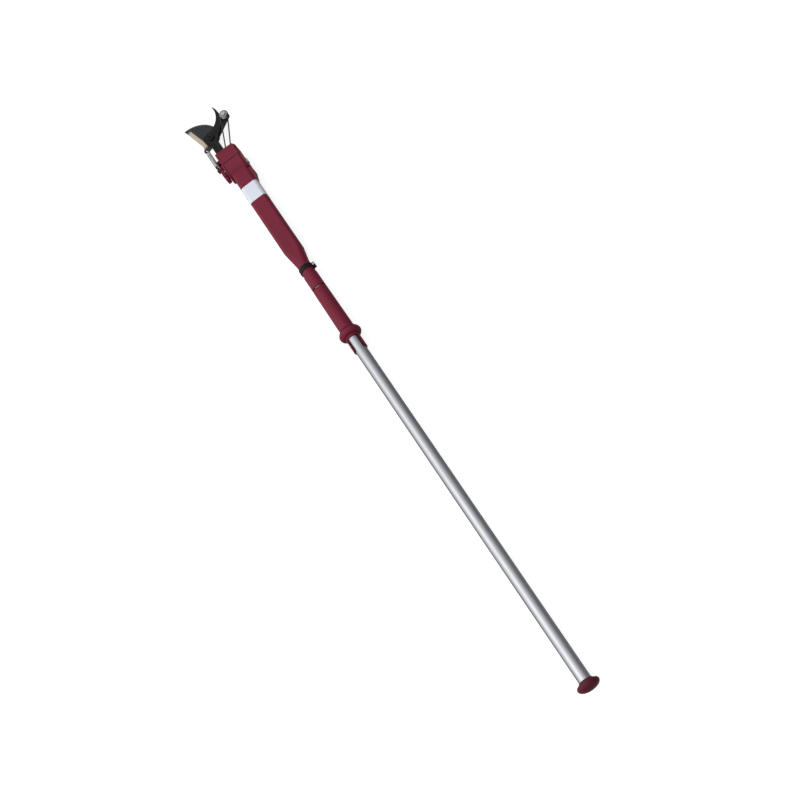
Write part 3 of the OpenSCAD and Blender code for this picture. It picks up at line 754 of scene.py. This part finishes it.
@dataclass
class Pole:
    """Bare tube with its end knob and the bush inside its far end."""

    tube: DrawnAluminium = DrawnAluminium()
    # The knob's darker wine is painted shade.
    knob: MouldedPlastic = WINE_PAINTED_SHADE
    bush: MouldedPlastic = NYLON

    def dress(self, dresser: Dresser) -> None:
        """Dresses the tube, the knob and the bush."""
        dresser.dress(self.tube, ["pole_tube"])
        dresser.dress(self.knob, ["end_knob"])
        dresser.dress(self.bush, ["tube_bush"])


@dataclass
class SlidingGrip:
    """Grip that slides on the tube, with its bush and the puller inside."""

    barrel: MouldedPlastic = WINE
    slug: MouldedPlastic = NYLON
    screw: PlatedSteel = ZINC

    def dress(self, dresser: Dresser) -> None:
        """Dresses the grip and its parts."""
        dresser.dress(self.barrel, ["sliding_grip", "grip_bush"])
        dresser.dress(self.slug, ["puller_slug"])
        dresser.dress(self.screw, ["puller_screw"])


@dataclass
class HandleBody:
    """Two moulded halves with their clamp, screws and label place."""

    shells: MouldedPlastic = WINE
    band: BlackedSteel = BlackedSteel()
    screws: PlatedSteel = ZINC
    label: LabelFilm = LabelFilm()

    def dress(self, dresser: Dresser) -> None:
        """Dresses the body and its parts."""
        dresser.dress(self.shells, ["stop_collar", "body_left_shell", "body_right_shell"])
        dresser.dress(self.band, ["clamp_band"])
        dresser.dress(self.screws, ["clamp_screw", "clamp_nut", "body_screws"])
        dresser.dress(self.label, ["label_band"])


@dataclass
class Elbow:
    """Tilting elbow with its cheeks, guide pulley, neck and lock knob."""

    mouldings: MouldedPlastic = WINE
    wheels: MouldedPlastic = NYLON
    screws: PlatedSteel = ZINC
    insert: PlatedSteel = BRASS

    def dress(self, dresser: Dresser) -> None:
        """Dresses the elbow's parts."""
        moulded = ["left_cheek", "right_cheek", "lock_knob", "neck_base", "neck_cover"]
        dresser.dress(self.mouldings, moulded)
        dresser.dress(self.wheels, ["elbow_washers", "guide_pulley"])
        dresser.dress(self.screws, ["elbow_axle", "cheek_screws", "neck_screws"])
        dresser.dress(self.insert, ["lock_insert"])


@dataclass
class CuttingHead:
    """Hook, blade, pivot and cord pulley."""

    pivot: Point = (1.071, 0.012, 0.0)
    edge_centre_mm: tuple[float, float] = (-2.4, 40.4)
    edge_radius_mm: float = 66.0
    spine_mm: tuple[tuple[float, float], tuple[float, float]] = ((-10.0, 24.0), (63.5, 43.0))
    forged: BlackedSteel = BlackedSteel()
    wheel: PlatedSteel = PULLEY_GREY
    hardware: PlatedSteel = ZINC

    def dress(self, dresser: Dresser) -> None:
        """Dresses the head's parts."""
        blade = GroundBlade(self.pivot, self.edge_centre_mm, self.edge_radius_mm, *self.spine_mm)
        dresser.dress(self.forged, ["hook_jaw", "spring_anchor", "pivot_bolt"])
        dresser.dress(blade, ["cutting_blade"])
        dresser.dress(self.wheel, ["cord_pulley"])
        dresser.dress(self.hardware, ["pulley_pin", "pivot_washer", "pivot_nut", "cord_ferrule"])


@dataclass
class ReturnSpring:
    """Close wound tension spring between the anchor pin and the blade's ear, sizes in millimetres."""

    anchor: Point = (990.0, 36.5, 0.0)
    ear_x: float = 1052.0
    coil_from: float = 997.0
    coil_to: float = 1043.0
    turns: int = 20
    outside_d: float = 10.0
    wire_d: float = 1.4
    pin_r: float = 2.0
    pin_gap: float = 0.3
    free_length: float = 26.0
    ear_length: float = 1.5
    slim: float = 0.34
    ring_up: Point = (0.2, 1.0, 0.1)
    step: float = 0.7
    turn_points: int = 24
    sides: int = 10

    def path(self) -> np.ndarray:
        """Hook round the pin, then a helix, then a hook down through the ear, in metres."""
        x, y, z = self.anchor
        pin = self.pin_r + self.wire_d / 2 + self.pin_gap
        a = np.radians(np.arange(-330.0, -89.0, 15.0))
        hook = np.stack((x + pin * np.cos(a), y + pin * np.sin(a), np.full_like(a, z)), axis=1)
        mean = (self.outside_d - self.wire_d) / 2
        t = np.linspace(0.0, 1.0, self.turns * self.turn_points + 1)
        b = 2 * np.pi * self.turns * t - np.pi / 2
        coil = np.stack((
            self.coil_from + (self.coil_to - self.coil_from) * t,
            y + mean * np.sin(b),
            z + mean * np.cos(b),
        ), axis=1)
        lead = np.array([[x + 3.6, y - pin + 0.6, 0.6]])
        tail = np.array([
            [self.coil_to + 3.0, y - 1.6, 2.6], [self.ear_x - 2.0, y, 2.4], [self.ear_x - 0.6, y, 1.6],
            [self.ear_x, y, 0.0], [self.ear_x, y, -2.0], [self.ear_x, y, -5.4],
        ])
        return smooth_path(np.concatenate((hook, lead, coil, tail)) * MM, self.step * MM)

    def build(self, dresser: Dresser) -> None:
        """Sweeps the wire, slimmer along the pole at its far turns."""
        path = self.path()
        radii = np.full((len(path), self.sides), self.wire_d / 2 * MM)
        near = ((self.coil_to - self.free_length) * MM, self.anchor[1] * MM, 0.0)
        far = ((self.ear_x - self.ear_length) * MM, near[1], 0.0)
        t = np.clip((path[:, 0] - near[0]) / (far[0] - near[0]), 0.0, 1.0)
        slimming = 1.0 - self.slim * 4 * t * (1 - t)
        piece = swept_piece("wound_spring", path, radii, self.ring_up, slimming)
        dresser.coat(piece, SpringWire())
        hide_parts("return_spring")
        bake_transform(piece)


@dataclass
class DrawCord:
    """Twisted cord from the slug in the tube to the dead end in the neck, sizes in millimetres."""

    cord_d: float = 3.0
    lay: float = 9.0
    strands: int = 3
    elbow_x: float = 959.0
    slug_x: float = 544.0
    tube_z: float = -7.5
    groove_z: float = 8.25
    pulley: tuple[float, float] = (1098.466, -41.906)
    wrap_r: float = 9.0
    strand_in: tuple[float, float] = (1015.5, -15.0)
    strand_end: tuple[float, float] = (1017.5, -3.0)
    ferrule_x: float = 1003.45
    ferrule_reach: float = 2.1
    pivot: tuple[float, float] = (1071.0, 12.0)
    swing_deg: float = 67.0
    swing_limit_deg: float = 68.0
    groove_depth: float = 0.10
    front_step: float = 0.6
    neck_step: float = 0.8
    strand_points: int = 9
    turn_points: int = 45
    pole_points: int = 330
    ring_up: Point = (0.0, 0.0, 1.0)
    sides: int = 18

    def laid(self, path: np.ndarray) -> np.ndarray:
        """Radius of the laid cord: strands bulge as |cos| of a turn that changes along the path."""
        along = np.concatenate(([0.0], np.cumsum(np.linalg.norm(np.diff(path, axis=0), axis=1))))
        a = 2 * np.pi * np.arange(self.sides) / self.sides
        turn = a[None, :] - 2 * np.pi * along[:, None] / (self.lay * MM)
        crown = np.abs(np.cos(self.strands / 2 * turn))
        return self.cord_d / 2 * MM * (1.0 - self.groove_depth * (1.0 - crown))

    def closed_pulley(self) -> tuple[float, float]:
        """Centre of the pulley when the blade has closed: its rest place turned about the pivot."""
        dx, dy = self.pulley[0] - self.pivot[0], self.pulley[1] - self.pivot[1]
        c, s = math.cos(math.radians(self.swing_deg)), math.sin(math.radians(self.swing_deg))
        return self.pivot[0] + c * dx + s * dy, self.pivot[1] - s * dx + c * dy

    def tangents(self, centre: tuple[float, float]) -> tuple[float, float]:
        """Finds where the two straight strands meet the wrap circle.

        Args:
            centre: the circle's centre, in millimetres.

        Returns:
            The dead end strand's angle and the moving strand's, which is reached by turning back.
        """
        angles = []
        for hole, side in ((self.strand_end, -1.0), (self.strand_in, 1.0)):
            dx, dy = hole[0] - centre[0], hole[1] - centre[1]
            angles.append(math.atan2(dy, dx) + side * math.acos(self.wrap_r / math.hypot(dx, dy)))
        return angles[0], angles[1] - 2 * math.pi

    def on_wrap(self, centre: tuple[float, float], angle: np.ndarray | float) -> np.ndarray:
        """Points of the wrap circle round centre, in millimetres."""
        return np.array(centre) + self.wrap_r * np.stack((np.cos(angle), np.sin(angle)), axis=-1)

    def front_piece(
        self, name: str, flat: np.ndarray, body: Body, dresser: Dresser
    ) -> bpy.types.Object:
        """Makes one stretch of the front loop.

        Args:
            name: the piece's name.
            flat: its points at the groove's height, in millimetres.
            body: what it rides on.
            dresser: gives it its finish.

        Returns:
            The piece.
        """
        points = np.column_stack((flat, np.full(len(flat), self.groove_z)))
        path = smooth_path(points * MM, self.front_step * MM)
        made = self.piece(name, path, "draw_cord_front", dresser)
        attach(made, body.value)
        path[::2].tolist() + [path[-1].tolist()]
        return made

    def strand(
        self, name: str, hole: tuple[float, float], which: int, start: np.ndarray, dresser: Dresser
    ) -> None:
        """Makes one straight strand from its hole to the pulley's wrap circle at rest.

        Args:
            name: the piece's name.
            hole: where it leaves the neck, in millimetres.
            which: its place in the pair of tangents.
            start: points inside the neck that come first.
            dresser: gives it its finish.
        """
        closed = self.closed_pulley()
        far = self.on_wrap(self.pulley, self.tangents(self.pulley)[which])
        gone = self.on_wrap(closed, self.tangents(closed)[which])
        q = np.linspace(0.0, 1.0, self.strand_points)[:, None]
        line = np.array(hole) * (1 - q) + far * q
        made = self.front_piece(name, np.concatenate((start, line)), Body.HEAD, dresser)
        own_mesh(made)

    def wrap(self, dresser: Dresser) -> None:
        """Makes the turn round the pulley, long enough for the strands' places at rest and closed."""
        rest = self.tangents(self.pulley)
        closed = [a + math.radians(self.swing_deg) for a in self.tangents(self.closed_pulley())]
        a = np.linspace(max(rest[0], closed[0]), min(rest[1], closed[1]), self.turn_points)
        self.front_piece("cord_front_wrap", self.on_wrap(self.pulley, a), Body.BLADE, dresser)

    def neck_path(self) -> np.ndarray:
        """From the guide pulley up through the neck to the front hole, in metres."""
        x = self.elbow_x
        points = np.array([
            [x, 0.0, self.tube_z], [x + 8, 0.0, self.tube_z], [x + 17, -1.0, -6.6],
            [x + 26, -3.5, -3.6], [x + 34, -7.5, 1.2], [x + 42, -11.8, 5.6],
            [x + 49, -14.6, self.groove_z - 0.3],
            [self.strand_in[0] - 3, self.strand_in[1], self.groove_z],
            [self.strand_in[0], self.strand_in[1], self.groove_z],
        ])
        return smooth_path(points * MM, self.neck_step * MM)

    def pole_path(self) -> np.ndarray:
        """Straight from the slug to the guide pulley, in metres."""
        x = np.linspace(self.slug_x, self.elbow_x, self.pole_points)
        return np.column_stack((x, np.zeros_like(x), np.full_like(x, self.tube_z))) * MM

    def piece(self, name: str, path: np.ndarray, node: str, dresser: Dresser) -> bpy.types.Object:
        """Sweeps one stretch of the cord.

        Args:
            name: the piece's name.
            path: its centre line, in metres.
            node: the solid that it stands for.
            dresser: gives it its finish.

        Returns:
            The piece.
        """
        made = swept_piece(name, path, self.laid(path), self.ring_up)
        dresser.coat(made, TwistedCord(self.lay * MM, self.strands))
        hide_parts(node)
        return made

    def build(self, dresser: Dresser) -> None:
        """Makes the front loop's strands and its turn, then the stretches in the neck and the pole."""
        dead_end = np.array([[self.ferrule_x + self.ferrule_reach, self.strand_end[1]]])
        self.strand("cord_front_dead_strand", self.strand_end, 0, dead_end, dresser)
        self.strand("cord_front_live_strand", self.strand_in, 1, np.empty((0, 2)), dresser)
        self.wrap(dresser)
        neck = self.piece("cord_in_neck", self.neck_path(), "draw_cord_neck", dresser)
        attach(neck, Body.HEAD.value)
        pole = self.piece("cord_in_pole", self.pole_path(), "draw_cord_pole", dresser)
        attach(pole, Body.GRIP.value)


@dataclass
class Studio:
    """Camera at the photograph's viewpoint, pale floor and soft light from the blade side."""

    eye: Point = (-1.0008, -0.2025, 2.3764)
    right: Point = (-0.49750106, -0.80262321, -0.32908426)
    up: Point = (0.73128088, -0.59210692, 0.33859335)
    lens: float = 62.0086
    sensor: float = 36.0
    clip: tuple[float, float] = (0.05, 50.0)
    floor_z: float = -0.0262
    floor_x: float = 0.35
    floor_half: float = 5.0
    floor_lines: int = 9
    backdrop_r: float = 10.0
    backdrop_h: float = 10.0
    backdrop_drop: float = 0.002
    backdrop_lap: float = 0.5
    backdrop_sides: int = 64
    cove_r: float = 3.0
    cove_points: int = 9
    bright_side: Point = (0.0, 0.62, 0.78)
    sky_levels: tuple[tuple[float, float], ...] = (
        (0.0, 0.12), (0.11, 0.085), (0.20, 0.047), (0.57, 0.13), (0.875, 0.33), (1.0, 0.52),
    )
    sky_strength: float = 4.0
    key_at: Point = (0.9, 1.7, 2.6)
    key_to: Point = (0.4, 0.0, 0.0)
    key_size: float = 2.6
    key_power: float = 8.0
    key_colour: Rgb = (1.0, 0.99, 0.97)
    ground: StudioFloor = StudioFloor()
    bowl: StudioFloor = StudioFloor("studio_backdrop", glow=1.0)

    def camera(self) -> None:
        """Places the camera by its right and up directions."""
        data = bpy.data.cameras.new("photo_camera")
        data.lens = self.lens
        data.sensor_width = self.sensor
        data.clip_start, data.clip_end = self.clip
        camera = bpy.data.objects.new("photo_camera", data)
        bpy.context.scene.collection.objects.link(camera)
        x = Vector(self.right).normalized()
        z = x.cross(Vector(self.up)).normalized()
        y = z.cross(x)
        turn = Matrix((x, y, z)).transposed().to_4x4()
        camera.matrix_world = Matrix.Translation(self.eye) @ turn
        bpy.context.scene.camera = camera

    def key(self) -> None:
        """A broad soft light from the blade side."""
        data = bpy.data.lights.new("key", "AREA")
        data.shape = "SQUARE"
        data.size = self.key_size
        data.energy = self.key_power
        data.color = self.key_colour
        light = bpy.data.objects.new("key", data)
        bpy.context.scene.collection.objects.link(light)
        light.location = self.key_at
        way = Vector(self.key_to) - Vector(self.key_at)
        light.rotation_euler = way.to_track_quat("-Z", "Y").to_euler()

    def stage_sheet(
        self, places: np.ndarray, closed: bool, finish: StudioFloor, dresser: Dresser
    ) -> bpy.types.Object:
        """Makes a sheet of the stage, named as its finish, that the part doesn't reflect.

        Args:
            places: a grid of points, rows by columns by three.
            closed: whether each row joins up.
            finish: the sheet's finish.
            dresser: gives it that finish.

        Returns:
            The sheet.
        """
        rows, columns = places.shape[:2]
        faces = grid_faces(rows, columns, closed)[:, ::-1]
        sheet = new_piece(finish.name, places.reshape(-1, 3), faces.tolist())
        dresser.coat(sheet, finish)
        sheet.visible_glossy = False
        sheet.visible_diffuse = False
        sheet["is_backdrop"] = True
        return sheet

    def floor(self, dresser: Dresser) -> None:
        """A grid of floor, z = floor_z, that reaches past the view."""
        line = np.linspace(-self.floor_half, self.floor_half, self.floor_lines)
        x, y = np.meshgrid(line + self.floor_x, line, indexing="ij")
        places = np.stack((x, y, np.full_like(x, self.floor_z)), axis=-1)
        self.stage_sheet(places, False, self.ground, dresser)

    def backdrop(self, dresser: Dresser) -> None:
        """A white bowl that only the camera sees: a flat rim, a quarter round and a wall."""
        a = np.linspace(0.0, np.pi / 2, self.cove_points)
        low = self.floor_z - self.backdrop_drop
        radius = self.backdrop_r - self.cove_r * (1 - np.sin(a))
        height = low + self.cove_r * (1 - np.cos(a))
        radius = np.concatenate(([self.floor_half - self.backdrop_lap], radius, [self.backdrop_r]))
        height = np.concatenate(([low], height, [self.backdrop_h]))
        turn = 2 * np.pi * np.arange(self.backdrop_sides) / self.backdrop_sides
        x, y = radius[:, None] * np.cos(turn), radius[:, None] * np.sin(turn)
        places = np.stack((x, y, np.repeat(height[:, None], len(turn), axis=1)), axis=-1)
        bowl = self.stage_sheet(places, True, self.bowl, dresser)
        bowl.visible_shadow = False

    def sky(self) -> None:
        """Surroundings that brighten with the dot product of the direction and the bright side."""
        world = bpy.data.worlds.new("studio_world")
        world.use_nodes = True
        bpy.context.scene.world = world
        nodes = Nodes(world.node_tree)
        way = nodes.node("ShaderNodeTexCoord", {}, {}, "Generated")
        side = tuple(Vector(self.bright_side).normalized())
        toward = nodes.node(
            "ShaderNodeVectorMath", {"operation": "DOT_PRODUCT"}, {0: way, 1: side}, "Value"
        )
        stops = [(at, (level, level, level)) for at, level in self.sky_levels]
        glow = nodes.node("ShaderNodeValToRGB", {"stops": stops}, {0: toward * 0.5 + 0.5})
        back = world.node_tree.nodes["Background"]
        world.node_tree.links.new(glow.socket, back.inputs["Color"])
        back.inputs["Strength"].default_value = self.sky_strength

    def light(self) -> None:
        """The key over the soft surroundings."""
        self.sky()
        self.key()
        bpy.context.scene.view_settings.view_transform = "Standard"

    def build(self, dresser: Dresser) -> None:
        """Sets up the camera, the floor, the backdrop and the lights."""
        self.camera()
        self.floor(dresser)
        self.backdrop(dresser)
        self.light()


def main() -> None:
    """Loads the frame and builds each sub-assembly in order."""
    logging.basicConfig(level=logging.INFO, format="%(name)s: %(message)s")
    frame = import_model()
    solids = [c.copy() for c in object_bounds()]
    dresser = Dresser(frame["nodes"])
    Studio().build(dresser)
    DrawCord().build(dresser)
    ReturnSpring().build(dresser)
    for part in (Pole(), SlidingGrip(), HandleBody(), Elbow(), CuttingHead()):
        part.dress(dresser)


if __name__ == "__main__":
    main()
